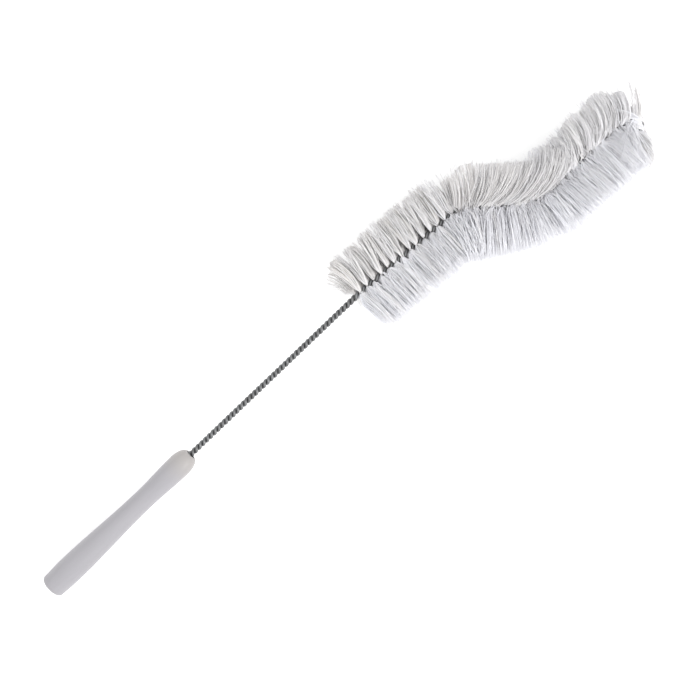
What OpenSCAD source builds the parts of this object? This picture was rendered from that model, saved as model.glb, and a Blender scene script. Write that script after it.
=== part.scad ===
// Twisted-in-wire bottle brush with a moulded handle.
// It lies on the table (z = 0) with the butt of the handle towards -X.
// One wire is folded into a hairpin, a flat layer of filaments is laid between its
// two strands, and the twist both grips the layer and spreads it into tufts.

/* [Handle] */
// Length of the handle
handle_len = 103; // [85:1:130]
// Diameter just in front of the rounded butt
butt_d = 13.5; // [12:0.1:17]
// Diameter of the fattest part of the grip
grip_d = 14.3; // [12:0.1:18]
// Distance from the butt to the fattest part
grip_at = 13; // [8:1:25]
// Diameter of the waist
waist_d = 11; // [9:0.1:13]
// Distance from the nose back to the waist
waist_back = 34; // [25:1:40]
// Diameter of the flare behind the nose
flare_d = 12.7; // [10:0.1:16]
// Distance from the nose back to the flare
flare_back = 8.5; // [6:0.5:14]
// Radius of the rounded butt edge
butt_round = 2; // [0.5:0.1:3]
// Depth of the socket that holds the stem
socket_depth = 35; // [20:1:60]
// Gap between the stem and the wall of the socket
socket_gap = 0.05; // [0.02:0.01:0.3]
// Room round the stem in the open mouth of the nose
mouth_room = 0.855; // [0.5:0.005:1.2]
// Depth of the open mouth
mouth_depth = 5; // [2:0.5:12]

/* [Stem] */
// Diameter of the wire
wire_d = 1.73; // [1.4:0.01:1.9]
// Length of bare stem between the handle and the bristles
bare_len = 120; // [90:1:160]
// Length of one full turn of the bare stem, in wire diameters
bare_lay = 3.18; // [3.18:0.01:5]
// Length of one full turn where the stem holds bristles, in wire diameters
head_lay = 5.584; // [4.8:0.001:7]
// Gap between the two strands of the bare stem
strand_gap = 0.03; // [0.02:0.01:0.1]

/* [Bristles] */
// Diameter across the bristles
head_d = 45; // [30:1:55]
// How far the bristles are pressed in where they rest on the table
rest_depth = 2; // [1:0.1:4]
// Thickness of the layer of filaments between the strands
core_layer = 0.2; // [0.15:0.01:0.3]
// Thickness of the layer at the tips of the bristles
tip_layer = 0.4; // [0.3:0.05:0.6]
// Gap between one tuft and the next along the stem
tuft_gap = 0.3; // [0.2:0.05:0.5]

/* [Hidden] */
// The head's bends in order from the first bristles: [length, left turn in degrees].
// The last two fold the end of the stem back on itself.
BENDS = [
    [8, -3],
    [54, 0],
    [14, -37],
    [16, -2],
    [32, 42],
    [35, 0],
    [16, -22],
    [8.5, -160],
    [10, 0]
];
// The stem comes level with the table in the first bend
LEVEL = 0;
// The bend that folds the end back
FOLD = len(BENDS) - 2;

// How far the stem stops short of the bottom of its socket
socket_end_gap = 1;
// Gap between the wire and the layer of filaments that it grips
wire_clear = 0.15;
// How far the thin layer between the strands goes on past the wire
root_room = 0.735;
// Bends gentler than this many degrees take no room from the bristles
gentle_turn = 5;
// Margin for points that lie on the edge of a bend or a layer
edge_margin = 0.01;

// Steps of the computed shapes
path_step = 1;
outline_steps = 10;
wire_sides = 7;
bare_rings_per_turn = 7;
head_rings_per_turn = 9;
fold_rings = 6;
tuft_rings = 8;

function clamp01(t) = max(0, min(1, t));
function ease(t) = (1 - cos(180 * t)) / 2;
function total(list) = len(list) == 0 ? 0 : list * [for (v = list) 1];
function unit(v) = v / norm(v);

// ---- Stem sizes ----
wire_r = wire_d / 2;
bare_r = wire_r + strand_gap / 2;
bare_pitch = bare_lay * wire_d;
head_pitch = head_lay * wire_d;
head_strand_r = wire_r + core_layer / 2 + wire_clear;
root_r = wire_r + root_room;
socket_r = bare_r + wire_r + socket_gap;
head_at = handle_len + bare_len;
head_len = total([for (b = BENDS) b[0]]);
stem_end = head_at + head_len;
stem_start = handle_len - socket_depth + socket_end_gap;

// ---- Heights: the grip and the bristles both rest on the table ----
head_r = head_d / 2;
head_height = head_r - rest_depth;
level_len = BENDS[LEVEL][0];
rough_climb = asin((head_height - butt_d / 2) / head_at);

// Half outline of the handle: [radius, distance from the butt]
butt_r = butt_d / 2;
grip_r = grip_d / 2;
waist_r = waist_d / 2;
flare_r = flare_d / 2;
mouth_r = bare_r + wire_r + mouth_room;
waist_at = handle_len - waist_back;
flare_at = handle_len - flare_back;
function swell(from_r, to_r, from_at, to_at) = [
    for (i = [1 : outline_steps])
        let (t = i / outline_steps)
        [from_r + (to_r - from_r) * ease(t), from_at + (to_at - from_at) * t]
];
handle_outside = concat(
    [[0, 0]],
    [for (a = [0 : 15 : 90]) [butt_r - butt_round * (1 - sin(a)), butt_round * (1 - cos(a))]],
    swell(butt_r, grip_r, butt_round, grip_at),
    swell(grip_r, waist_r, grip_at, waist_at),
    swell(waist_r, flare_r, waist_at, flare_at),
    [for (a = [10 : 10 : 90]) [mouth_r + (flare_r - mouth_r) * cos(a), flare_at + flare_back * sin(a)]]
);
handle_inside = [
    [mouth_r, handle_len - mouth_depth],
    [socket_r, handle_len - mouth_depth - (mouth_r - socket_r)],
    [socket_r, handle_len - socket_depth],
    [0, handle_len - socket_depth]
];
butt_height = max([for (p = handle_outside) p[0] * cos(rough_climb) - p[1] * sin(rough_climb)]);
climb = asin((head_height - butt_height) / (head_at + level_len / 2));

// ---- Route of the stem ----
bend_starts = [for (i = 0, s = head_at; i < len(BENDS); s = s + BENDS[i][0], i = i + 1) s];
function bend_part(i, s) = clamp01((s - bend_starts[i]) / BENDS[i][0]);
function heading(s) = total([for (i = [0 : len(BENDS) - 1]) BENDS[i][1] * bend_part(i, s)]);
function slope(s) = climb * (1 - bend_part(LEVEL, s));
function forward(s) = let (h = heading(s), c = slope(s)) [cos(c) * cos(h), cos(c) * sin(h), sin(c)];
function left(s) = let (h = heading(s)) [-sin(h), cos(h), 0];
function up(s) = cross(forward(s), left(s));

path_count = ceil(stem_end / path_step);
path = [
    for (i = 0, p = [0, 0, butt_height]; i <= path_count;
         p = p + path_step * forward((i + 0.5) * path_step), i = i + 1) p
];
function centre(s) =
    let (i = min(floor(s / path_step), path_count - 1), t = s / path_step - i)
    path[i] + (path[i + 1] - path[i]) * t;

// Direction square to the stem, turned from level left towards up
function around(s, angle) = cos(angle) * left(s) + sin(angle) * up(s);

// ---- Twist: a left-hand lay, with one strand on top at the first bristles ----
function twist(s) =
    let (bare_turns = min(0, s - head_at) / bare_pitch, head_turns = max(0, s - head_at) / head_pitch)
    90 - 360 * (bare_turns + head_turns);

// The strands move apart over the last quarter turn before the bristles
function strand_r(s) =
    let (parted = ease(clamp01((s - head_at) / (head_pitch / 4) + 1)))
    bare_r + (head_strand_r - bare_r) * parted;
function strand(s, side) = centre(s) + strand_r(s) * around(s, twist(s) + side);

// ---- Wire: down one strand, round the fold at the tip and back along the other ----
strand_end = stem_end - head_strand_r - wire_r;
bare_rings = ceil((head_at - stem_start) / bare_pitch * bare_rings_per_turn);
head_rings = ceil((strand_end - head_at) / head_pitch * head_rings_per_turn);
ring_places = concat(
    [for (i = [0 : bare_rings - 1]) stem_start + (head_at - stem_start) * i / bare_rings],
    [for (i = [0 : head_rings]) head_at + (strand_end - head_at) * i / head_rings]
);
last = len(ring_places) - 1;
wire_path = concat(
    [for (s = ring_places) [strand(s, 0), around(s, twist(s))]],
    [
        for (i = [1 : fold_rings - 1])
            let (a = 180 * i / fold_rings, s = strand_end)
            [
                centre(s) + head_strand_r * (cos(a) * around(s, twist(s)) + sin(a) * forward(s)),
                around(s, twist(s) - 90)
            ]
    ],
    [for (i = [last : -1 : 0]) let (s = ring_places[i]) [strand(s, 180), around(s, twist(s) + 180)]]
);

// ---- Tufts: each half turn of the head holds one, which sticks out on both sides ----
tuft_len = head_pitch / 2;
tuft_count = floor((head_len - head_strand_r) / tuft_len);

// How much room the bristles have towards the inside of the bend that they sit in
crowding = 1 - (tip_layer + tuft_gap) / tuft_len;
function bend_radius(i) =
    let (turn = abs(BENDS[i][1]))
    turn < gentle_turn ? head_len : BENDS[i][0] / (turn * PI / 180);
fold_r = bend_radius(FOLD);
fold_from = bend_starts[FOLD] - BENDS[FOLD + 1][0] - tuft_len;
function bend_of(s) = max([for (i = [0 : len(BENDS) - 1]) s >= bend_starts[i] - edge_margin ? i : 0]);
function inside_room(s) = (s > fold_from ? fold_r : bend_radius(bend_of(s))) * crowding;
function inside_turn(s) = s > fold_from ? -1 : sign(BENDS[bend_of(s)][1]);

// Reach of a bristle from the stem: its length, less what the table or a bend takes away
function reach(s, way) =
    let (down = -way[2], inward = (way * left(s)) * inside_turn(s))
    min(
        head_r,
        down > edge_margin ? centre(s)[2] / down : head_r,
        inward > edge_margin ? inside_room(s) / inward : head_r
    );

// One row of points across the stem, on one face of a tuft
function tuft_row(s, face) =
    let (
        way = around(s, twist(s) + 90),
        lean = cross(way, forward(s)),
        turn = -2 * PI / head_pitch
    )
    [
        for (r = [-reach(s, -way), -root_r, 0, root_r, reach(s, way)])
            let (
                square = unit(lean + r * turn * forward(s)),
                layer = abs(r) > root_r + edge_margin ? tip_layer : core_layer
            )
            centre(s) + r * way + face * layer / 2 * square
    ];
function tuft_ring(s) =
    let (front = tuft_row(s, 1), back = tuft_row(s, -1))
    [each front, for (i = [len(back) - 1 : -1 : 0]) back[i]];
function tuft_place(k, i) =
    head_at + tuft_len * k + tuft_gap / 2 + (tuft_len - tuft_gap) * i / tuft_rings;

// ---- Origin: middle of the whole brush, on the table ----
tips = [
    for (k = [0 : tuft_count - 1], i = [0 : tuft_rings], side = [-1, 1])
        let (s = tuft_place(k, i), way = side * around(s, twist(s) + 90))
        centre(s) + reach(s, way) * way
];
tip_x = [for (p = tips) p[0]];
tip_y = [for (p = tips) p[1]];
butt_x = -butt_r * sin(climb);
origin = [(butt_x + max(tip_x)) / 2, (min(tip_y) + max(tip_y)) / 2, 0];

// Solid skin over rings of points, closed by a cap at each end
module skin(rings) {
    n = len(rings[0]);
    count = len(rings);
    sides = [
        for (j = [0 : count - 2], i = [0 : n - 1], half = [0, 1])
            let (a = j * n + i, b = j * n + (i + 1) % n)
            half == 0 ? [a, b, b + n] : [a, b + n, a + n]
    ];
    top = (count - 1) * n;
    zigzag = [for (j = [0 : n - 1]) j % 2 == 0 ? j / 2 : n - (j + 1) / 2];
    first_cap = [
        for (j = [0 : n - 3])
            let (even = j % 2 == 0)
            [zigzag[even ? j : j + 1], zigzag[even ? j + 1 : j], zigzag[j + 2]]
    ];
    last_cap = [for (f = first_cap) [top + f[0], top + f[2], top + f[1]]];
    polyhedron([for (r = rings) each r], concat(sides, first_cap, last_cap));
}

module handle() {
    color("white")
        translate([0, 0, butt_height] - origin)
            rotate([0, 90 - climb, 0])
                rotate_extrude($fn = 96)
                    polygon(concat(handle_outside, handle_inside));
}

module stem_wire() {
    color("dimgray")
        skin([
            for (i = [0 : len(wire_path) - 1])
                let (
                    here = wire_path[i][0],
                    next = wire_path[min(i + 1, len(wire_path) - 1)][0],
                    before = wire_path[max(i - 1, 0)][0],
                    along = unit(next - before),
                    out = unit(wire_path[i][1] - (wire_path[i][1] * along) * along),
                    across = cross(along, out)
                )
                [
                    for (a = [0 : 360 / wire_sides : 359])
                        here - origin + wire_r * (cos(a) * out + sin(a) * across)
                ]
        ]);
}

module tuft(k) {
    color("gainsboro")
        skin([for (i = [0 : tuft_rings]) [for (p = tuft_ring(tuft_place(k, i))) p - origin]]);
}

function tuft_name(k) = str("tuft_", k < 9 ? "0" : "", k + 1);

handle();
stem_wire();
for (k = [0 : tuft_count - 1])
    tuft(k);
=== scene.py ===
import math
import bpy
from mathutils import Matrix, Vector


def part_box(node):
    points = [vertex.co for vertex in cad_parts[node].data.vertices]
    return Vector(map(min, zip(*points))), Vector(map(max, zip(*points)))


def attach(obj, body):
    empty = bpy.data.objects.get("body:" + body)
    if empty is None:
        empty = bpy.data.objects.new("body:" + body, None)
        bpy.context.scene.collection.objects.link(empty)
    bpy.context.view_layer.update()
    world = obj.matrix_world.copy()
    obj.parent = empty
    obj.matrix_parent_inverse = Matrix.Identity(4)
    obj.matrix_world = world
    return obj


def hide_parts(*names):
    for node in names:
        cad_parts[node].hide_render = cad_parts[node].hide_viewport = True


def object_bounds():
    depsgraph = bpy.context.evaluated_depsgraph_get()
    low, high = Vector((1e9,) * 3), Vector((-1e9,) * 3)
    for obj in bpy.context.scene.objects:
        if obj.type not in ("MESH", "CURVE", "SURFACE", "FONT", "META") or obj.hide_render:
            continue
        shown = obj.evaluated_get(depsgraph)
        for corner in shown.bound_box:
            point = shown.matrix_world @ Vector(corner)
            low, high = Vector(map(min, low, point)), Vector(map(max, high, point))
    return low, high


bl_info = {
    "name": "Bottle Brush",
    "version": (1, 0, 0),
    "blender": (4, 5, 0),
    "location": "3D View > Sidebar > Bottle Brush",
    "description": "Builds a twisted-in-wire bottle brush with a moulded handle",
    "category": "Add Mesh",
}

import bpy
import numpy as np
from mathutils import Matrix, Vector

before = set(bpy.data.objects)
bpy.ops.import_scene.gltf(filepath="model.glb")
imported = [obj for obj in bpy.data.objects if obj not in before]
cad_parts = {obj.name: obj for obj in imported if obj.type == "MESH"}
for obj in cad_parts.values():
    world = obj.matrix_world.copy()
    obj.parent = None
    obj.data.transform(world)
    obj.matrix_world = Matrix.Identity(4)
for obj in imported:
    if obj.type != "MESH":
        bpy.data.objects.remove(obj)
CAD_BOX = [list(corner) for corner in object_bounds()]

MM = 0.001
BODY = "root"

# The head's bends in order from the first bristles: (length in mm, left turn in degrees).
# The last two fold the end of the stem back on itself.
BENDS = (
    (8.0, -3.0),
    (54.0, 0.0),
    (14.0, -37.0),
    (16.0, -2.0),
    (32.0, 42.0),
    (35.0, 0.0),
    (16.0, -22.0),
    (8.5, -160.0),
    (10.0, 0.0),
)
HEAD_LEN = sum(length for length, _ in BENDS)
# Height of the head's axis in mm: half of its diameter, less what the table presses in
HEAD_HEIGHT = 20.5
# Height of the middle of the butt in mm, where the tilted handle lies on the table
BUTT_HEIGHT = 6.614
# How far the stem goes into the handle, in mm
STEM_INSIDE = 34.0
# Half of the gap between the strands in mm, on the bare stem and under the bristles
BARE_GAP, HEAD_GAP = 0.015, 0.1
# Step of the stem's centre line in mm
ROUTE_STEP = 0.25

# How the filaments are combed, as (distance from the first bristles in mm, lean towards
# the tip at the wire, lean at the ends, both in degrees), on the brush's left side
COMBED_LEFT = (
    (0, 6, -20),
    (10, 10, -6),
    (28, 4, -5),
    (50, 10, 2),
    (66, 4, -4),
    (80, 40, 18),
    (108, 50, 26),
    (122, 46, 4),
    (130, 16, -6),
    (148, 44, 2),
    (162, 32, -2),
    (171, 24, -5),
    (175, 22, -5),
    (177, -13, -40),
    (183.5, -8, -8),
    (187, 6, 14),
    (193, 16, 26),
)
# The same on its right side
COMBED_RIGHT = (
    (0, 14, 4),
    (40, 0, 2),
    (80, 2, -4),
    (110, -4, 2),
    (140, 8, 4),
    (162, -4, -2),
    (176, -14, -8),
    (194, 0, 0),
)
# Reach of the filaments from the wire, as (distance in mm, reach in mm), left and right
TRIM_LEFT = (
    (0, 22),
    (60, 22.5),
    (64, 17),
    (69, 17.5),
    (75, 21.5),
    (120, 22),
    (130, 18),
    (141, 19),
    (148, 21),
    (152, 20.5),
    (155, 15.5),
    (158, 19.5),
    (167, 21),
    (171, 16.5),
    (175, 16),
    (176.2, 13),
    (177, 9),
    (182, 8),
    (184, 9),
    (187, 13),
    (190, 18),
    (194, 19),
)
TRIM_RIGHT = (
    (0, 20),
    (4, 24),
    (56, 24.2),
    (62, 26.5),
    (80, 26.5),
    (92, 24),
    (106, 22.5),
    (120, 23.6),
    (172, 24),
    (176, 9),
    (180, 6),
    (194, 6),
)
# Half angle of the parting on top along the head: (distance in mm, angle in degrees)
PARTING = ((0, 33), (58, 30), (68, 8), (120, 6), (130, 20), (150, 12), (176, 18))
# How far filaments bend towards level between root and end, as a share of their angle from
# it: on the left and on the right for those that stand above level, and on both for those
# below it, which the table lifts
FLATTENED_LEFT, FLATTENED_RIGHT, LIFTED = 0.5, 0.7, 0.3
# The wire's fold in mm, where the left side's filaments are pressed under the tip, and how
# far from upright they then stand, in radians
FOLD_FROM, FOLD_TO = 176.4, 183.5
PRESSED = 2.8
# On the left the first bristles stand in blades: where those end, and over what length, in mm
BLADES_END, BLADES_FADE = 72, 10
# Near the tip the filaments lie calmer: where that starts, and over what length, in mm
CALM_FROM, CALM_FADE = 166, 6
# Distance from the stem's middle where a filament starts, and where the wire lets it go, in mm
ROOT_R, FREE_R = 0.3, 1.9
# Distances beyond FREE_R in mm over which filaments bend over the wire and spread out
BEND_OVER, SPREAD_OVER = 1.8, 5.0
# Reach of a filament in mm before it is trimmed
UNCUT = 20.0
# Rings of points along a filament, and its sides
FILAMENT_RINGS, FILAMENT_SIDES = 7, 3
# Clumps and locks on each side of a tuft, and how many of them random draws are made for
CLUMPS, LOCKS, DRAWS = 4, 15, 64
# How strong the warm painted shade tint is on the left side along the head: (distance in mm,
# share)
LEFT_SHADE_TINT = ((0, 0.8), (60, 0.65), (110, 0.4), (190, 0.5))
# Gaps in the outline where filaments are parted: (distance in mm, half width in mm)
PARTED_LEFT = (
    (8, 1.6),
    (18, 1.2),
    (28, 1.8),
    (48, 1.4),
    (66, 1.0),
    (78, 0.7),
    (93, 0.8),
    (127, 1.0),
    (139, 1.6),
)
PARTED_RIGHT = (
    (21, 0.5),
    (32, 1.5),
    (50, 0.7),
    (98, 0.8),
    (104, 1.0),
    (110, 1.3),
    (124, 1.4),
    (154, 1.6),
    (171, 1.6),
)
# The bake map: each strip's cell has a margin, and room above the strip for the tube's two
# caps, as shares of the cell
MAP_MARGIN, CAP_ROOM, CAP_WIDTH = 0.12, 0.1, 0.2
# The middle of the camera's view
VIEW_MIDDLE = Vector((-0.0055, 0.0014, 0.012))


# ---- Settings ----


class HandleSettings(bpy.types.PropertyGroup):
    length: bpy.props.FloatProperty(
        name="Length", description="From the butt to the nose", default=0.103, unit="LENGTH"
    )
    butt_diameter: bpy.props.FloatProperty(
        name="Butt",
        description="Diameter in front of the rounded butt",
        default=0.0135,
        unit="LENGTH",
    )
    grip_diameter: bpy.props.FloatProperty(
        name="Grip", description="Diameter of the fattest part", default=0.0143, unit="LENGTH"
    )
    waist_diameter: bpy.props.FloatProperty(
        name="Waist", description="Diameter of the waist", default=0.011, unit="LENGTH"
    )
    flare_diameter: bpy.props.FloatProperty(
        name="Flare",
        description="Diameter of the flare behind the nose",
        default=0.0127,
        unit="LENGTH",
    )
    mouth_diameter: bpy.props.FloatProperty(
        name="Mouth", description="Diameter of the open mouth", default=0.0052, unit="LENGTH"
    )
    colour: bpy.props.FloatVectorProperty(
        name="Plastic", description="Colour of the moulded plastic", subtype="COLOR",
        default=(0.365, 0.357, 0.379), min=0, max=1,
    )


class StemSettings(bpy.types.PropertyGroup):
    wire_diameter: bpy.props.FloatProperty(
        name="Wire", description="Diameter of the wire", default=0.00173, unit="LENGTH"
    )
    bare_length: bpy.props.FloatProperty(
        name="Bare stem",
        description="Length between handle and bristles",
        default=0.12,
        unit="LENGTH",
    )
    bare_lay: bpy.props.FloatProperty(
        name="Bare lay", description="Full turn of the bare stem, in wire diameters", default=3.18
    )
    head_lay: bpy.props.FloatProperty(
        name="Head lay",
        description="Full turn under the bristles, in wire diameters",
        default=5.584,
    )
    sides: bpy.props.IntProperty(name="Sides", description="Sides of the round wire", default=12)
    rings_per_turn: bpy.props.IntProperty(
        name="Rings", description="Rings in a full turn of a strand", default=26
    )
    colour: bpy.props.FloatVectorProperty(
        name="Steel", description="Colour of the galvanised steel", subtype="COLOR",
        default=(0.21, 0.214, 0.218), min=0, max=1,
    )


class BristleSettings(bpy.types.PropertyGroup):
    filaments: bpy.props.IntProperty(
        name="Filaments",
        description="Filament ends in one tuft, both sides together",
        default=460,
    )
    diameter: bpy.props.FloatProperty(
        name="Filament", description="Diameter of a filament", default=0.00038, unit="LENGTH"
    )
    cool: bpy.props.FloatVectorProperty(
        name="Cool", description="Colour of unshaded filaments", subtype="COLOR",
        default=(0.945, 0.947, 0.985), min=0, max=1,
    )
    warm: bpy.props.FloatVectorProperty(
        name="Warm", description="Colour of yellowed filaments", subtype="COLOR",
        default=(0.94, 0.915, 0.895), min=0, max=1,
    )
    seed: bpy.props.IntProperty(name="Seed", description="Seed of the random draws", default=7)


class StageSettings(bpy.types.PropertyGroup):
    field: bpy.props.FloatProperty(
        name="Field",
        description="Width of the view at the brush",
        default=0.3675,
        unit="LENGTH",
    )
    distance: bpy.props.FloatProperty(
        name="Distance", description="Camera above the brush", default=0.7, unit="LENGTH"
    )
    stem_angle: bpy.props.FloatProperty(
        name="Stem angle", description="Angle of the stem in the view", subtype="ANGLE",
        default=math.radians(43.6),
    )
    key: bpy.props.FloatProperty(
        name="Key light", description="Power of the key light", default=9.5, unit="POWER"
    )
    top: bpy.props.FloatProperty(
        name="Top light", description="Power of the light overhead", default=4.75, unit="POWER"
    )
    sky: bpy.props.FloatProperty(
        name="Sky", description="Strength of the light all round", default=1.0
    )


# ---- Mesh helpers ----


def unit(vectors):
    """Vectors made one long."""
    return vectors / np.linalg.norm(vectors, axis=-1, keepdims=True)


def ease(t):
    """Smooth step from 0 to 1."""
    t = np.clip(t, 0, 1)
    return t * t * (3 - 2 * t)


def full_turn(sides):
    """Angles of the corners of a ring."""
    return np.arange(sides) * 2 * math.pi / sides


def skin(count, rings, sides):
    """Faces along count tubes of rings of points: each one's tube, ring, side and corners."""
    tube, ring, side = (
        index.ravel()
        for index in np.meshgrid(
            np.arange(count), np.arange(rings - 1), np.arange(sides), indexing="ij"
        )
    )
    base = (tube * rings + ring) * sides
    after = (side + 1) % sides
    corners = (base + side, base + after, base + sides + after, base + sides + side)
    return tube, ring, side, np.stack(corners, 1)


def tubes(paths, outs, radii, sides, columns, strips_each=1):
    """Tubes along n paths of m points, as (points, faces, map): the first side of each
    ring points towards outs. Each tube lies on the map as strips in a grid."""
    count, rings = paths.shape[:2]
    along = unit(np.gradient(paths, axis=1))
    out = unit(outs - (outs * along).sum(-1, keepdims=True) * along)
    across = np.cross(along, out)
    turn = full_turn(sides)
    circle = (
        np.cos(turn)[:, None] * out[:, :, None, :]
        + np.sin(turn)[:, None] * across[:, :, None, :]
    )
    points = paths[:, :, None, :] + radii[:, :, None, None] * circle
    tube, ring, side, quads = skin(count, rings, sides)

    # The strips, each in a cell of the map
    rings_each = math.ceil((rings - 1) / strips_each)
    rows = math.ceil(count * strips_each / columns)
    cell = tube * strips_each + ring // rings_each
    left = (cell % columns + MAP_MARGIN / 2) / columns
    low = (cell // columns + MAP_MARGIN / 2) / rows
    wide = (1 - MAP_MARGIN) / columns / sides
    high = (1 - MAP_MARGIN - CAP_ROOM) / rows / rings_each
    step = ring % rings_each
    u = np.stack([side, side + 1, side + 1, side], 1) * wide + left[:, None]
    v = np.stack([step, step, step + 1, step + 1], 1) * high + low[:, None]
    quad_map = np.stack([u, v], 2).reshape(-1, 2)

    # The two caps, side by side above the tube's first strip
    caps, cap_map = [], []
    cap_wide, cap_high = CAP_WIDTH / columns, CAP_ROOM / 2.5 / rows
    shape = np.stack([np.cos(turn) * cap_wide, np.sin(turn) * cap_high], 1)
    ends = ((0, -1.1, np.arange(sides)[::-1]), (rings - 1, 1.1, np.arange(sides)))
    for first in range(count):
        cell = first * strips_each
        middle = (
            (cell % columns + 0.5) / columns,
            (cell // columns + 1 - MAP_MARGIN) / rows,
        )
        for ring, offset, order in ends:
            caps.append(((first * rings + ring) * sides + order).tolist())
            cap_map.append(shape[order] + middle + (offset * cap_wide, 0))
    return points.reshape(-1, 3), quads.tolist() + caps, np.concatenate([quad_map, *cap_map])


def add_piece(name, points, faces, place_map, tones, material, slot, node):
    """A mesh piece in metres that rides on the brush's one body and stands for a CAD node."""
    mesh = bpy.data.meshes.new(name)
    mesh.from_pydata(points * MM, [], faces)
    if mesh.validate():
        raise RuntimeError(f"{name} has faulty faces")
    mesh.shade_smooth()
    layer = mesh.uv_layers.new(name="OFBake", do_init=False)
    layer.uv.foreach_set("vector", place_map.astype(np.float32).ravel())
    for tone, values in tones.items():
        held = mesh.attributes.new(tone, "FLOAT", "POINT")
        held.data.foreach_set("value", values.astype(np.float32).ravel())
    mesh.materials.append(material)
    piece = bpy.data.objects.new(name, mesh)
    bpy.context.scene.collection.objects.link(piece)
    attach(piece, BODY)
    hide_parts(node)


# ---- Materials ----


class Value:
    """An output socket that adds Math nodes when it is used in an expression."""

    def __init__(self, shader, socket):
        self.shader = shader
        self.socket = socket

    def maths(self, operation, *values):
        return self.shader.node(
            "ShaderNodeMath", {"operation": operation}, dict(enumerate(values))
        )

    def __add__(self, other):
        return self.maths("ADD", self, other)

    def __mul__(self, other):
        return self.maths("MULTIPLY", self, other)

    def __rsub__(self, other):
        return self.maths("SUBTRACT", other, self)

    __radd__ = __add__
    __rmul__ = __mul__

    def stepped(self, low, high):
        """0 below low, 1 above high, and smooth between them."""
        return self.shader.node(
            "ShaderNodeMapRange",
            {"interpolation_type": "SMOOTHSTEP"},
            {"Value": self, "From Min": low, "From Max": high},
        )


class Shader:
    """A material's nodes, with one Principled shader, and its plain colour in the viewport."""

    def __init__(self, name, plain, **uniform):
        self.material = bpy.data.materials.new(name)
        self.material.diffuse_color = colour(plain)
        self.material.use_nodes = True
        self.tree = self.material.node_tree
        self.principled = self.tree.nodes["Principled BSDF"]
        for socket, value in uniform.items():
            self.principled.inputs[socket.replace("_", " ")].default_value = value

    def node(self, kind, settings, sockets, output=0):
        """Adds a node: its settings first, then its sockets' values or links."""
        made = self.tree.nodes.new(kind)
        for setting, value in settings.items():
            setattr(made, setting, value)
        for socket, value in sockets.items():
            if isinstance(value, Value):
                self.tree.links.new(value.socket, made.inputs[socket])
            else:
                made.inputs[socket].default_value = value
        return Value(self, made.outputs[output])

    def attribute(self, name):
        return self.node("ShaderNodeAttribute", {"attribute_name": name}, {}, "Fac")

    def places(self):
        return self.node("ShaderNodeTexCoord", {}, {}, "Object")

    def noise(self, places, scale, detail=3.0):
        return self.node(
            "ShaderNodeTexNoise",
            {},
            {"Vector": places, "Scale": scale, "Detail": detail, "Roughness": 0.55},
        )

    def stretched(self, places, scale):
        return self.node(
            "ShaderNodeVectorMath", {"operation": "MULTIPLY"}, {0: places, 1: scale}
        )

    def mix(self, share, first, second):
        """Two colours mixed: the numbers are the Mix node's colour sockets."""
        return self.node(
            "ShaderNodeMix", {"data_type": "RGBA"}, {0: share, 6: first, 7: second}, 2
        )

    def bump(self, height, distance):
        return self.node("ShaderNodeBump", {}, {"Height": height, "Distance": distance})

    def feed(self, **links):
        for socket, value in links.items():
            self.tree.links.new(value.socket, self.principled.inputs[socket.replace("_", " ")])


def colour(rgb, by=1.0):
    """A colour with full alpha, made lighter or darker."""
    return (*(min(1.0, c * by) for c in rgb), 1.0)


def plastic_material(settings):
    """Satin moulded plastic: fine grain, faint flow marks, handling dirt and a raised parting
    line, with painted shade darkening both flanks along it.
    """
    warm_nose, handled_grey = (0.41, 0.385, 0.36), (0.36, 0.35, 0.35)
    # The seam grey is painted shade along both flanks; the parting line itself is only a bump
    seam_painted_shade = (0.26, 0.25, 0.245)
    shader = Shader("moulded plastic", settings.colour, Roughness=0.42, Specular_IOR_Level=0.4)
    places = shader.places()
    dirt = shader.noise(places, 60.0, 5.0).stepped(0.45, 0.75)
    flow = shader.noise(shader.stretched(places, (60, 420, 420)), 1.0, 4.0)
    grain = shader.noise(places, 2600.0, 2.0)
    nose = shader.attribute("nose")
    seam_and_shade = shader.attribute("seam_and_shade")
    butt = shader.attribute("butt")
    clean = shader.mix(flow, colour(settings.colour, 0.95), colour(settings.colour, 1.05))
    warmed = shader.mix(nose * 0.65, clean, colour(warm_nose))
    handled = shader.mix(dirt * 0.14 + butt * 0.2, warmed, colour(handled_grey))
    # Painted shade: the flanks along the parting line are darkened
    shader.feed(
        Base_Color=shader.mix(seam_and_shade * 0.3, handled, colour(seam_painted_shade)),
        Roughness=0.36 + grain * 0.1 + dirt * 0.08,
        Normal=shader.bump(grain * 0.35 + flow * 0.5 + seam_and_shade, 0.00006),
    )
    return shader.material


def steel_material(settings):
    """Drawn galvanised wire: dull crowns, painted shade in the grooves between the strands, zinc
    spangle and draw lines.
    """
    # The dark grey below is painted shade for the grooves between the strands
    dull_zinc, groove_painted_shade = (0.125, 0.12, 0.117), (0.055, 0.055, 0.057)
    shader = Shader("galvanised wire", settings.colour, Metallic=0.85, Specular_IOR_Level=0.4)
    places = shader.places()
    groove = shader.attribute("groove")
    spangle = shader.noise(places, 900.0)
    patches = shader.noise(places, 160.0, 4.0).stepped(0.35, 0.7)
    draw = shader.noise(shader.stretched(places, (300, 2600, 2600)), 1.0)
    bare = shader.mix(spangle, colour(settings.colour, 0.72), colour(settings.colour, 1.3))
    dulled = shader.mix(patches * 0.35, bare, colour(dull_zinc))
    # Painted shade: the groove side of each strand is darkened and made less metallic
    shader.feed(
        Base_Color=shader.mix(groove, dulled, colour(groove_painted_shade)),
        Roughness=0.36 + patches * 0.16 + spangle * 0.08,
        Metallic=0.9 - groove * 0.6,
        Normal=shader.bump(draw * 0.5 + spangle * 0.5, 0.00005),
    )
    return shader.material


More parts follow.
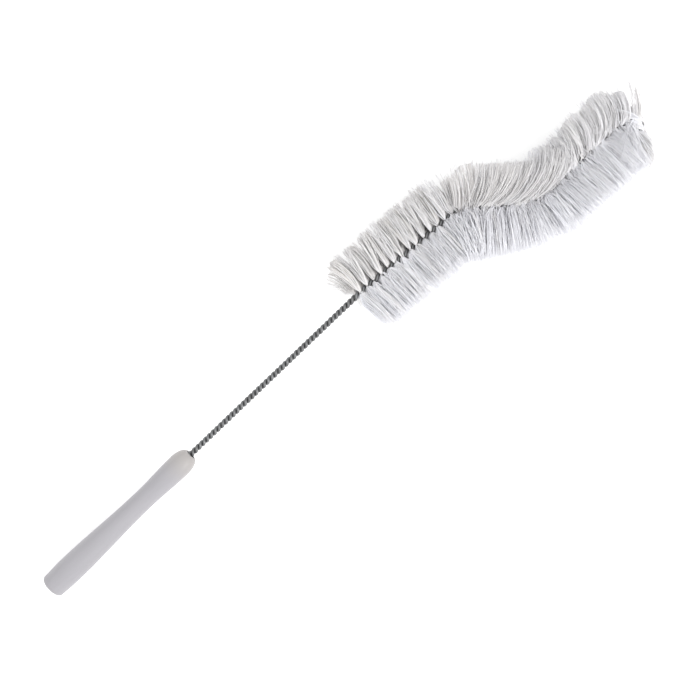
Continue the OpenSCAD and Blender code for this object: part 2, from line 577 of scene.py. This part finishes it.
def filament_material(settings):
    """Crimped synthetic filaments, bluish white, with painted shade and a warm painted shade tint
    on the left side, painted shade at the roots, and faint tan streaks.
    """
    shade_grey, worn_tan = (0.55, 0.54, 0.535), (0.74, 0.71, 0.67)
    shader = Shader("bristle filaments", settings.cool, Roughness=0.5, Specular_IOR_Level=0.35)
    places = shader.places()
    tone = shader.attribute("tone")
    shade_warmth = shader.attribute("shade_warmth")
    along = shader.attribute("along")
    streak = shader.noise(places, 240.0)
    crimp = shader.noise(places, 1400.0, 2.0)
    # The warm colour is a painted shade tint on the left side, varied at random
    tinted_by_shade = shader.mix(shade_warmth, colour(settings.cool), colour(settings.warm))
    # Painted shade: darker where the tone is low, mostly on the left side, and near the roots by
    # the wire
    shadow = (1 - tone) * 0.5 + (1 - along.stepped(0.0, 0.25)) * 0.1
    shaded = shader.mix(shadow, tinted_by_shade, colour(shade_grey))
    shader.feed(
        Base_Color=shader.mix(streak.stepped(0.55, 0.85) * 0.1, shaded, colour(worn_tan)),
        Roughness=0.42 + tone * 0.14,
        Normal=shader.bump(crimp, 0.00004),
    )
    return shader.material


def floor_material():
    """Pale matt board with a very fine tooth, which glows a little like a lit table."""
    dim, bright = (0.90, 0.90, 0.90), (0.92, 0.92, 0.92)
    shader = Shader(
        "pale board",
        bright,
        Roughness=0.9,
        Specular_IOR_Level=0.2,
        Emission_Color=(1.0, 1.0, 1.0, 1.0),
        Emission_Strength=0.26,
    )
    places = shader.places()
    tooth = shader.noise(places, 1800.0, 2.0)
    cloud = shader.noise(places, 6.0, 2.0)
    shader.feed(
        Base_Color=shader.mix(cloud, colour(dim), colour(bright)),
        Normal=shader.bump(tooth, 0.00003),
    )
    return shader.material


# ---- Shape of the handle ----


def swell(from_r, to_r, from_at, to_at, steps=24):
    """A smooth change of radius along the handle, without its first point."""
    t = np.arange(1, steps + 1) / steps
    radius = from_r + (to_r - from_r) * (1 - np.cos(math.pi * t)) / 2
    return np.stack([radius, from_at + (to_at - from_at) * t], 1)


def handle_outline(settings, stem):
    """Half outline as (radius, distance from the butt) in mm, from the middle of the butt,
    over the nose and into the socket."""
    length = settings.length / MM
    butt, grip, waist, flare, mouth = (
        d / MM / 2
        for d in (
            settings.butt_diameter,
            settings.grip_diameter,
            settings.waist_diameter,
            settings.flare_diameter,
            settings.mouth_diameter,
        )
    )
    socket_clearance, middle_r = 0.065, 0.4
    socket = stem.wire_diameter / MM + socket_clearance
    edge, grip_at, waist_at, flare_at = 2.0, 13.0, length - 34.0, length - 8.5
    mouth_end, socket_end, lip = length - 5.0, length - 35.0, 0.25
    edge_turn = np.radians(np.arange(0, 91, 7.5))
    nose_turn = np.radians(np.arange(4, 87, 4))
    nose_r = mouth + (flare - mouth) * np.cos(nose_turn)
    nose_at = flare_at + (length - flare_at) * np.sin(nose_turn)
    return np.concatenate(
        [
            [[middle_r, 0.0]],
            np.stack([butt - edge * (1 - np.sin(edge_turn)), edge * (1 - np.cos(edge_turn))], 1),
            swell(butt, grip, edge, grip_at),
            swell(grip, waist, grip_at, waist_at, 40),
            swell(waist, flare, waist_at, flare_at),
            np.stack([nose_r, nose_at], 1),
            [[mouth + lip * 0.3, length], [mouth, length - lip]],
            [[mouth, mouth_end], [socket, mouth_end - (mouth - socket)], [socket, socket_end]],
        ]
    )


class Route:
    """The stem's centre line in mm, from the butt of the handle to the folded tip."""

    def __init__(self, handle, stem):
        self.head_at = (handle.length + stem.bare_length) / MM
        self.end = self.head_at + HEAD_LEN
        self.wire_r = stem.wire_diameter / MM / 2
        self.bare_pitch = stem.bare_lay * self.wire_r * 2
        self.head_pitch = stem.head_lay * self.wire_r * 2
        self.bare_strand = self.wire_r + BARE_GAP
        self.head_strand = self.wire_r + HEAD_GAP
        # The climb of the stem levels out over the first stretch of the head
        self.level = BENDS[0][0]
        self.climb = math.asin((HEAD_HEIGHT - BUTT_HEIGHT) / (self.head_at + self.level / 2))
        lengths, turns = zip((0.0, 0.0), *BENDS)
        self.bend_at = self.head_at + np.cumsum(lengths)
        self.turned = np.cumsum(np.radians(turns))
        self.start = self.butt_place(handle, stem)
        steps_past_end = 40
        steps = int(round(self.end / ROUTE_STEP)) + steps_past_end
        middles = (np.arange(steps) + 0.5) * ROUTE_STEP
        moves = ROUTE_STEP * self.forward(middles)
        self.places = np.concatenate([self.start[None], self.start + np.cumsum(moves, 0)])
        self.lengths = np.arange(steps + 1) * ROUTE_STEP

    def butt_place(self, handle, stem):
        """The middle of the butt, from the box of the handle in the frame."""
        low, high = (np.array(corner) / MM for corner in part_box("handle"))
        radius, along = handle_outline(handle, stem).T
        leftmost = (along * math.cos(self.climb) - radius * math.sin(self.climb)).min()
        lowest = (along * math.sin(self.climb) - radius * math.cos(self.climb)).min()
        return np.array([low[0] - leftmost, (low[1] + high[1]) / 2, low[2] - lowest])

    def heading(self, s):
        """Turn of the stem to the left, seen from above, at each length s along it."""
        return np.interp(s, self.bend_at, self.turned)

    def slope(self, s):
        """Climb of the stem at each length along it, in radians."""
        return self.climb * (1 - np.clip((s - self.head_at) / self.level, 0, 1))

    def forward(self, s):
        h, c = self.heading(s), self.slope(s)
        return np.stack([np.cos(c) * np.cos(h), np.cos(c) * np.sin(h), np.sin(c)], -1)

    def left(self, s):
        h = self.heading(s)
        return np.stack([-np.sin(h), np.cos(h), np.zeros_like(h)], -1)

    def centre(self, s):
        return np.stack([np.interp(s, self.lengths, self.places[:, i]) for i in range(3)], -1)

    def around(self, s, angle):
        """Direction square to the stem, turned from level left towards up."""
        left = self.left(s)
        up = np.cross(self.forward(s), left)
        return np.cos(angle)[..., None] * left + np.sin(angle)[..., None] * up

    def twist(self, s):
        """Place of the first strand round the stem: a left-hand lay, and on top where the
        bristles start."""
        bare = (np.minimum(s, self.head_at) - self.head_at) / self.bare_pitch
        head = np.maximum(s - self.head_at, 0) / self.head_pitch
        return math.pi / 2 - 2 * math.pi * (bare + head)

    def strand_r(self, s):
        """Distance of the strands from the centre line, which grows just before the bristles."""
        quarter = self.head_pitch / 4
        return self.bare_strand + (self.head_strand - self.bare_strand) * ease(
            (s - self.head_at + quarter) / quarter
        )


# ---- Shape of the bristles ----


def profile(stops, at, column=1):
    """Values at places along the head, from rows of (distance, value, ...)."""
    stops = np.transpose(stops)
    return np.interp(at, stops[0], stops[column])


def parting_move(gaps, tip_at):
    """How far each tip moves along the stem to open the gaps in the outline."""
    move = np.zeros_like(tip_at)
    for middle, half in gaps:
        off = tip_at - middle
        move += np.sign(off) * half * np.exp(-np.abs(off) / (2.5 * half))
    return move


class Tuft:
    """One tuft's filaments, in mm. They are trapped in a row along half a turn of the stem,
    with one end to each side, and each end is a filament here."""

    def __init__(self, settings, route, place):
        self.route = route
        self.rng = np.random.default_rng([settings.seed, place])
        each_way = settings.filaments // 2
        share = (np.arange(each_way) + self.rng.uniform(0, 1, each_way)) / each_way
        share = np.tile(share, 2)
        way = np.repeat([0.0, math.pi], each_way)
        half_turn, edge = route.head_pitch / 2, 0.02
        self.s = route.head_at + half_turn * (place + edge + (1 - 2 * edge) * share)
        self.at = self.s - route.head_at
        self.count = len(self.s)

        # Random draws, which neighbours share by clump and by lock
        lane = share + way
        self.loose = self.rng.normal(0, 1, (5, self.count))
        self.clump, self.lock = (
            self.rng.normal(0, 1, (draws, DRAWS))[:, np.floor(lane * groups).astype(int) % DRAWS]
            for draws, groups in ((4, CLUMPS), (3, LOCKS))
        )
        self.part(route.twist(self.s) + math.pi / 2 + way)
        self.comb()

    def by_side(self, left, right):
        """Each filament's value, from those of the left side and the right side."""
        return self.leftness * left + (1 - self.leftness) * right

    def part(self, ray):
        """Places round the stem: parted on top, and the fold's outer filaments pressed under.
        Angles are in radians from upright."""
        self.from_top = (ray + math.pi / 2) % (2 * math.pi) - math.pi + 0.05 * self.loose[3]
        self.bladed = ease((BLADES_END - self.at) / BLADES_FADE)
        crossing = 0.25 + 0.45 * (1 - self.bladed)
        past = self.from_top - crossing * (0.8 * self.lock[0] + 0.5 * self.loose[0])
        self.side = np.sign(past)
        self.leftness = ease((0.35 - np.sin(past)) / 0.7)
        parting = np.radians(profile(PARTING, self.at) + 5 * (1 - self.leftness))
        opened = parting + (math.pi - parting) * (np.abs(self.from_top) / math.pi) ** 0.9
        self.folded = ease(2 * (self.at - FOLD_FROM)) * ease(FOLD_TO - self.at) * self.leftness
        self.opened = opened + (PRESSED - opened) * self.folded * (opened < PRESSED)
        self.raised = np.maximum(math.pi / 2 - self.opened, 0)

    def comb(self):
        """Lean towards the tip at the wire and at the end, in radians, and spread along the
        stem, which closes the gaps between the tufts. Filaments on top first bend over the
        wire."""
        self.blades = self.leftness * self.bladed * ease((2.0 - self.opened) / 0.5)
        calm = 1 - 0.65 * ease((self.at - CALM_FROM) / CALM_FADE)
        strays = (np.abs(self.loose[4]) > 2.1) * 4
        self.lean = []
        for i, (loose_by, clump_by) in enumerate(((3.5, 1.0), (4.5, 1.5))):
            combed = self.by_side(
                profile(COMBED_LEFT, self.at, 1 + i), profile(COMBED_RIGHT, self.at, 1 + i)
            )
            scatter = (
                loose_by * (1 + 0.2 * self.blades) * self.loose[i]
                + clump_by * (1 + 2.5 * self.blades) * self.clump[i]
                + (1.5 + 3.0 * self.blades) * self.lock[i]
                + strays * self.loose[i]
            )
            self.lean.append(np.radians(combed + calm * scatter))

        pitch = self.route.head_pitch
        fan = pitch * (0.16 * np.clip(self.lock[1], -1.6, 1.6) + 0.12 * self.loose[2])
        self.fan = fan * (1 - 0.9 * self.blades) * calm**0.4
        over = 0.25 * pitch * np.clip(1.3 * self.lock[1] + 0.4 * self.loose[2], -1, 1)
        on_top = ease((1.0 - np.abs(self.from_top)) / 0.6)
        self.over = over * on_top * (1 - 0.8 * self.bladed) * calm

    def shaped(self, reach):
        """Distance out from the stem, share of the free length and distance ahead, at each
        ring of filaments that reach this far."""
        reach = reach[:, None]
        r = ROOT_R + (reach - ROOT_R) * np.linspace(0, 1, FILAMENT_RINGS) ** 1.15
        out = np.clip((r - FREE_R) / (reach - FREE_R), 0, 1)
        root_lean, end_lean = (lean[:, None] for lean in self.lean)
        angle = root_lean + (end_lean - root_lean) * out
        middle = (angle[:, 1:] + angle[:, :-1]) / 2
        steps = np.diff(r, axis=1) * np.tan(middle) * (r[:, 1:] > FREE_R)
        ahead = np.concatenate([np.zeros((self.count, 1)), np.cumsum(steps, 1)], 1)
        ahead = ahead + self.over[:, None] * ease((r - FREE_R) / BEND_OVER)
        return r, out, ahead + self.fan[:, None] * ease((r - FREE_R) / SPREAD_OVER)

    def trimmed(self):
        """Reach of each filament, by where its tip would be if it weren't cut."""
        uncut_at = self.at + self.shaped(np.full(self.count, UNCUT))[2][:, -1]
        reach = self.by_side(profile(TRIM_LEFT, uncut_at), profile(TRIM_RIGHT, uncut_at))
        ragged = (0.012 + 0.06 * self.blades) * np.abs(self.loose[2])
        ragged = ragged + (0.008 + 0.045 * self.blades) * np.abs(self.lock[2])
        reach = reach * (1 - np.clip(ragged, 0, 0.22))
        return reach * (1 - 0.6 * self.folded) * (1 + 0.12 * self.raised)

    def turned(self, r, out):
        """Place round the stem at each ring: a filament turns from its place in the wire to
        its own side, and bends towards level."""
        spread = ease((r - FREE_R) / SPREAD_OVER)
        opened = self.side * self.opened
        turned = self.from_top[:, None] + (opened - self.from_top)[:, None] * spread
        flattened = self.by_side(FLATTENED_LEFT, FLATTENED_RIGHT)
        lifted = LIFTED * (1 - 0.8 * self.leftness * self.bladed) * (1 - self.folded)
        lowered = flattened * self.raised - lifted * np.maximum(self.opened - math.pi / 2, 0)
        turned = turned + (self.side * lowered)[:, None] * out**0.8
        wander = 0.03 * self.loose[2] + 0.03 * self.clump[3]
        return turned + math.pi / 2 + wander[:, None] * out

    def paths(self):
        """Points along every filament."""
        r, out, ahead = self.shaped(self.trimmed())
        tip_at = self.at + ahead[:, -1]
        parted = self.by_side(
            parting_move(PARTED_LEFT, tip_at), parting_move(PARTED_RIGHT, tip_at)
        )
        ahead = ahead + parted[:, None] * out**2
        turned = self.turned(r, out)
        s = np.repeat(self.s[:, None], FILAMENT_RINGS, 1)
        paths = (
            self.route.centre(s)
            + r[:, :, None] * self.route.around(s, turned)
            + ahead[:, :, None] * self.route.forward(s)
        )

        # Lifted to a little above the table, and splayed by half of what they rose
        lowest = 0.2 + 0.6 * self.rng.uniform(0, 1, self.count)[:, None]
        sunk = np.maximum(lowest - paths[:, :, 2], 0)
        outward = np.sign(np.cos(turned))[:, :, None] * self.route.left(s)
        paths = paths + 0.5 * sunk[:, :, None] * outward
        paths[:, :, 2] = np.maximum(paths[:, :, 2], lowest)
        return paths

    def shade_warmth(self):
        """How warm each filament is, from 0 to 1: a painted shade tint on the left side, varied
        at random by clump and filament.
        """
        shadowed = profile(LEFT_SHADE_TINT, self.at) + 0.16 * self.clump[2]
        return np.clip(self.leftness * shadowed + 0.08 * self.loose[2], 0, 1)

    def lightness(self):
        """How light each filament is, from 0 to 1: painted shade darkens the left side, and
        random tone varies it, more on the left.
        """
        shade = (0.08 + 0.24 * self.leftness) * self.loose[3]
        shade = shade + (0.04 + 0.12 * self.leftness) * self.lock[2]
        # The left side is darkened as painted shade
        return np.clip(0.95 - 0.55 * self.leftness + shade, 0, 1)


# ---- Operators ----


class BRUSH_OT_handle(bpy.types.Operator):
    """Moulds the handle with its nose, open mouth and socket"""

    bl_idname = "brush.handle"
    bl_label = "Handle"

    def execute(self, context):
        settings, stem = context.scene.brush_handle, context.scene.brush_stem
        route = Route(settings, stem)
        outline = handle_outline(settings, stem)
        rings, sides = len(outline), 128
        turn = full_turn(sides)
        butt = np.zeros(1)
        axis, left = route.forward(butt)[0], route.left(butt)[0]
        circle = np.cos(turn)[:, None] * left + np.sin(turn)[:, None] * np.cross(axis, left)
        points = (
            route.start + outline[:, 1, None, None] * axis + outline[:, 0, None, None] * circle
        )
        _, ring, side, quads = skin(1, rings, sides)
        ends = [list(range(sides))[::-1], list(range((rings - 1) * sides, rings * sides))]

        # On the map the skin is one sheet, and the discs that close its ends lie above it
        edges = np.linalg.norm(np.diff(outline, axis=0), axis=1)
        length = np.concatenate([[0], np.cumsum(edges)])
        share = 0.02 + 0.9 * length / length[-1]
        u = 0.01 + 0.98 * np.stack([side, side + 1, side + 1, side], 1) / sides
        v = np.stack([share[ring], share[ring], share[ring + 1], share[ring + 1]], 1)
        disc = 0.025 * np.stack([np.cos(turn), np.sin(turn)], 1)
        discs = [(disc + (0.1, 0.965))[::-1], disc + (0.3, 0.965)]
        place_map = np.concatenate([np.stack([u, v], 2).reshape(-1, 2), *discs])

        # Tones: the nose, the butt's edge and the mould's parting line on both flanks, where the
        # darker colour is painted shade
        inside_rings = 4
        outside = np.repeat(np.arange(rings) < rings - inside_rings, sides)
        along = np.repeat(outline[:, 1] / outline[:, 1].max(), sides)
        level = np.abs(np.tile(np.sin(turn), rings))
        tones = {
            "nose": ease((along - 0.82) / 0.16) * outside,
            "butt": ease((0.02 - along) / 0.02) * outside,
            "seam_and_shade": ease((0.06 - level) / 0.05) * outside * (along > 0.01),
        }
        add_piece(
            "moulded_handle",
            points.reshape(-1, 3),
            quads.tolist() + ends,
            place_map,
            tones,
            plastic_material(settings),
            "handle",
            "handle",
        )
        return {"FINISHED"}


class BRUSH_OT_stem(bpy.types.Operator):
    """Twists the two strands of the stem, which are one wire folded at the tip"""

    bl_idname = "brush.stem"
    bl_label = "Twisted stem"

    def execute(self, context):
        settings = context.scene.brush_stem
        route = Route(context.scene.brush_handle, settings)
        start = context.scene.brush_handle.length / MM - STEM_INSIDE
        end = route.end - route.head_strand - route.wire_r
        bare_rings = int((route.head_at - start) * (settings.rings_per_turn / route.bare_pitch))
        head_rings = int((end - route.head_at) * settings.rings_per_turn / route.head_pitch)
        bare = np.linspace(start, route.head_at, bare_rings, endpoint=False)
        s = np.concatenate([bare, np.linspace(route.head_at, end, head_rings)])

        def strand(side):
            way = route.around(s, route.twist(s) + side)
            return route.centre(s) + route.strand_r(s)[:, None] * way, way

        there, there_out = strand(0)
        back, back_out = strand(math.pi)
        fold_rings = 12
        tip = np.full(1, end)
        bend = np.linspace(0, math.pi, fold_rings + 2)[1:-1, None]
        fold_out = (
            np.cos(bend) * route.around(tip, route.twist(tip))
            + np.sin(bend) * route.forward(tip)
        )
        fold = route.centre(tip) + route.head_strand * fold_out
        path = np.concatenate([there, fold, back[::-1]])
        outs = np.concatenate([there_out, fold_out, back_out[::-1]])
        radii = np.full((1, len(path)), route.wire_r)
        strips = 44
        skin_of_wire = tubes(path[None], outs[None], radii, settings.sides, strips, strips)

        # The side that faces the other strand lies in the groove, where shade is painted
        facing = np.tile(-np.cos(full_turn(settings.sides)), len(path))
        tones = {"groove": ease((facing + 0.05) / 0.8)}
        material = steel_material(settings)
        add_piece("twisted_stem", *skin_of_wire, tones, material, "wire", "stem_wire")
        return {"FINISHED"}


class BRUSH_OT_bristles(bpy.types.Operator):
    """Grows the filaments of every tuft, half a turn of the stem at a time"""

    bl_idname = "brush.bristles"
    bl_label = "Bristles"

    def execute(self, context):
        settings = context.scene.brush_bristles
        route = Route(context.scene.brush_handle, context.scene.brush_stem)
        material = filament_material(settings)
        tufts = sorted(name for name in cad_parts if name.startswith("tuft_"))
        if not tufts:
            raise RuntimeError("the frame has no tufts")
        for place, node in enumerate(tufts):
            self.grow(settings, route, place, node, material)
        return {"FINISHED"}

    def grow(self, settings, route, place, node, material):
        """One tuft's filaments, rolled at random and a little thinner at the tip."""
        tuft = Tuft(settings, route, place)
        paths = tuft.paths()
        count, rings, sides = tuft.count, FILAMENT_RINGS, FILAMENT_SIDES
        thick = settings.diameter / MM / 2 * tuft.rng.uniform(0.85, 1.12, count)
        taper = np.linspace(1.0, 0.85, rings)
        roll = tuft.rng.uniform(0, 2 * math.pi, count)
        along = unit(paths[:, -1] - paths[:, 0])
        beside = unit(np.cross(along, route.forward(tuft.s)))
        outs = np.cos(roll)[:, None] * beside + np.sin(roll)[:, None] * np.cross(along, beside)
        outs = np.repeat(outs[:, None], rings, 1)
        map_columns = 21
        points, faces, place_map = tubes(paths, outs, thick[:, None] * taper, sides, map_columns)
        # The tone carries painted shade on the left side as well as random tone
        tones = {
            "tone": np.repeat(tuft.lightness(), rings * sides),
            "along": np.tile(np.repeat(np.linspace(0, 1, rings), sides), count),
            "shade_warmth": np.repeat(tuft.shade_warmth(), rings * sides),
        }
        name = f"{node}_filaments"
        add_piece(name, points, faces, place_map, tones, material, "bristle", node)


class BRUSH_OT_stage(bpy.types.Operator):
    """Sets the floor, the lights and the camera"""

    bl_idname = "brush.stage"
    bl_label = "Stage"

    def execute(self, context):
        scene, settings = context.scene, context.scene.brush_stage
        scene.view_settings.view_transform = "Standard"
        self.add_floor(scene)
        world = bpy.data.worlds.new("soft light all round")
        world.use_nodes = True
        background = world.node_tree.nodes["Background"]
        background.inputs["Color"].default_value = (1.0, 1.0, 1.0, 1.0)
        background.inputs["Strength"].default_value = settings.sky
        scene.world = world

        # The view looks straight down, with the stem rising to the right
        turn = settings.stem_angle
        up = Vector((0, 0, 1))
        right = Vector((math.cos(turn), -math.sin(turn), 0))
        ahead = up.cross(right)
        low, high = (Vector(corner) for corner in CAD_BOX)
        middle = (low + high) / 2
        key_place = middle + 0.9 * right - 0.7 * ahead + 1.1 * up
        self.add_light(scene, "key", key_place, middle, 0.9, settings.key)
        self.add_light(scene, "top", middle + 1.6 * up, middle, 1.6, settings.top)

        camera_data = bpy.data.cameras.new("camera")
        camera_data.lens = camera_data.sensor_width * settings.distance / settings.field
        camera = bpy.data.objects.new("camera", camera_data)
        place = Matrix.Translation(VIEW_MIDDLE + settings.distance * up)
        camera.matrix_world = place @ Matrix((right, ahead, up)).transposed().to_4x4()
        scene.collection.objects.link(camera)
        scene.camera = camera
        return {"FINISHED"}

    def add_floor(self, scene):
        """A wide board that curves up at its rim, so that no edge shows."""
        sides, drop = 96, -0.0002
        rings = ((0.6, 0.0), (1.6, 0.0), (2.4, 0.0), (3.0, 0.02))
        points = [(0.0, 0.0, drop)]
        for radius, rise in rings:
            points += [
                (radius * math.cos(turn), radius * math.sin(turn), drop + rise)
                for turn in full_turn(sides)
            ]
        faces = [(0, 1 + i, 1 + (i + 1) % sides) for i in range(sides)]
        for ring in range(len(rings) - 1):
            base = 1 + ring * sides
            for i in range(sides):
                after = (i + 1) % sides
                faces.append((base + i, base + sides + i, base + sides + after, base + after))
        mesh = bpy.data.meshes.new("floor")
        mesh.from_pydata(points, [], faces)
        mesh.shade_smooth()
        mesh.materials.append(floor_material())
        floor = bpy.data.objects.new("floor", mesh)
        scene.collection.objects.link(floor)

    def add_light(self, scene, name, place, target, size, power):
        """A round soft light that points at the target."""
        data = bpy.data.lights.new(name, "AREA")
        data.shape = "DISK"
        data.size = size
        data.energy = power
        light = bpy.data.objects.new(name, data)
        aim = (target - place).to_track_quat("-Z", "Y").to_matrix().to_4x4()
        light.matrix_world = Matrix.Translation(place) @ aim
        scene.collection.objects.link(light)


class BRUSH_PT_panel(bpy.types.Panel):
    """Lists the brush's pieces and sizes"""

    bl_idname = "BRUSH_PT_panel"
    bl_label = "Bottle Brush"
    bl_space_type = "VIEW_3D"
    bl_region_type = "UI"
    bl_category = "Bottle Brush"

    def draw(self, context):
        for group, operator in GROUPS:
            settings = getattr(context.scene, group)
            box = self.layout.box()
            for name in settings.__annotations__:
                box.prop(settings, name)
            box.operator(operator)


GROUPS = (
    ("brush_handle", "brush.handle"),
    ("brush_stem", "brush.stem"),
    ("brush_bristles", "brush.bristles"),
    ("brush_stage", "brush.stage"),
)
SETTINGS = (HandleSettings, StemSettings, BristleSettings, StageSettings)
CLASSES = (
    *SETTINGS,
    BRUSH_OT_handle,
    BRUSH_OT_stem,
    BRUSH_OT_bristles,
    BRUSH_OT_stage,
    BRUSH_PT_panel,
)


def register():
    for cls in CLASSES:
        bpy.utils.register_class(cls)
    for (group, _), settings in zip(GROUPS, SETTINGS):
        setattr(bpy.types.Scene, group, bpy.props.PointerProperty(type=settings))


def unregister():
    for group, _ in GROUPS:
        delattr(bpy.types.Scene, group)
    for cls in reversed(CLASSES):
        bpy.utils.unregister_class(cls)


def main():
    register()
    bpy.ops.brush.stage()
    bpy.ops.brush.handle()
    bpy.ops.brush.stem()
    bpy.ops.brush.bristles()


if __name__ == "__main__":
    main()
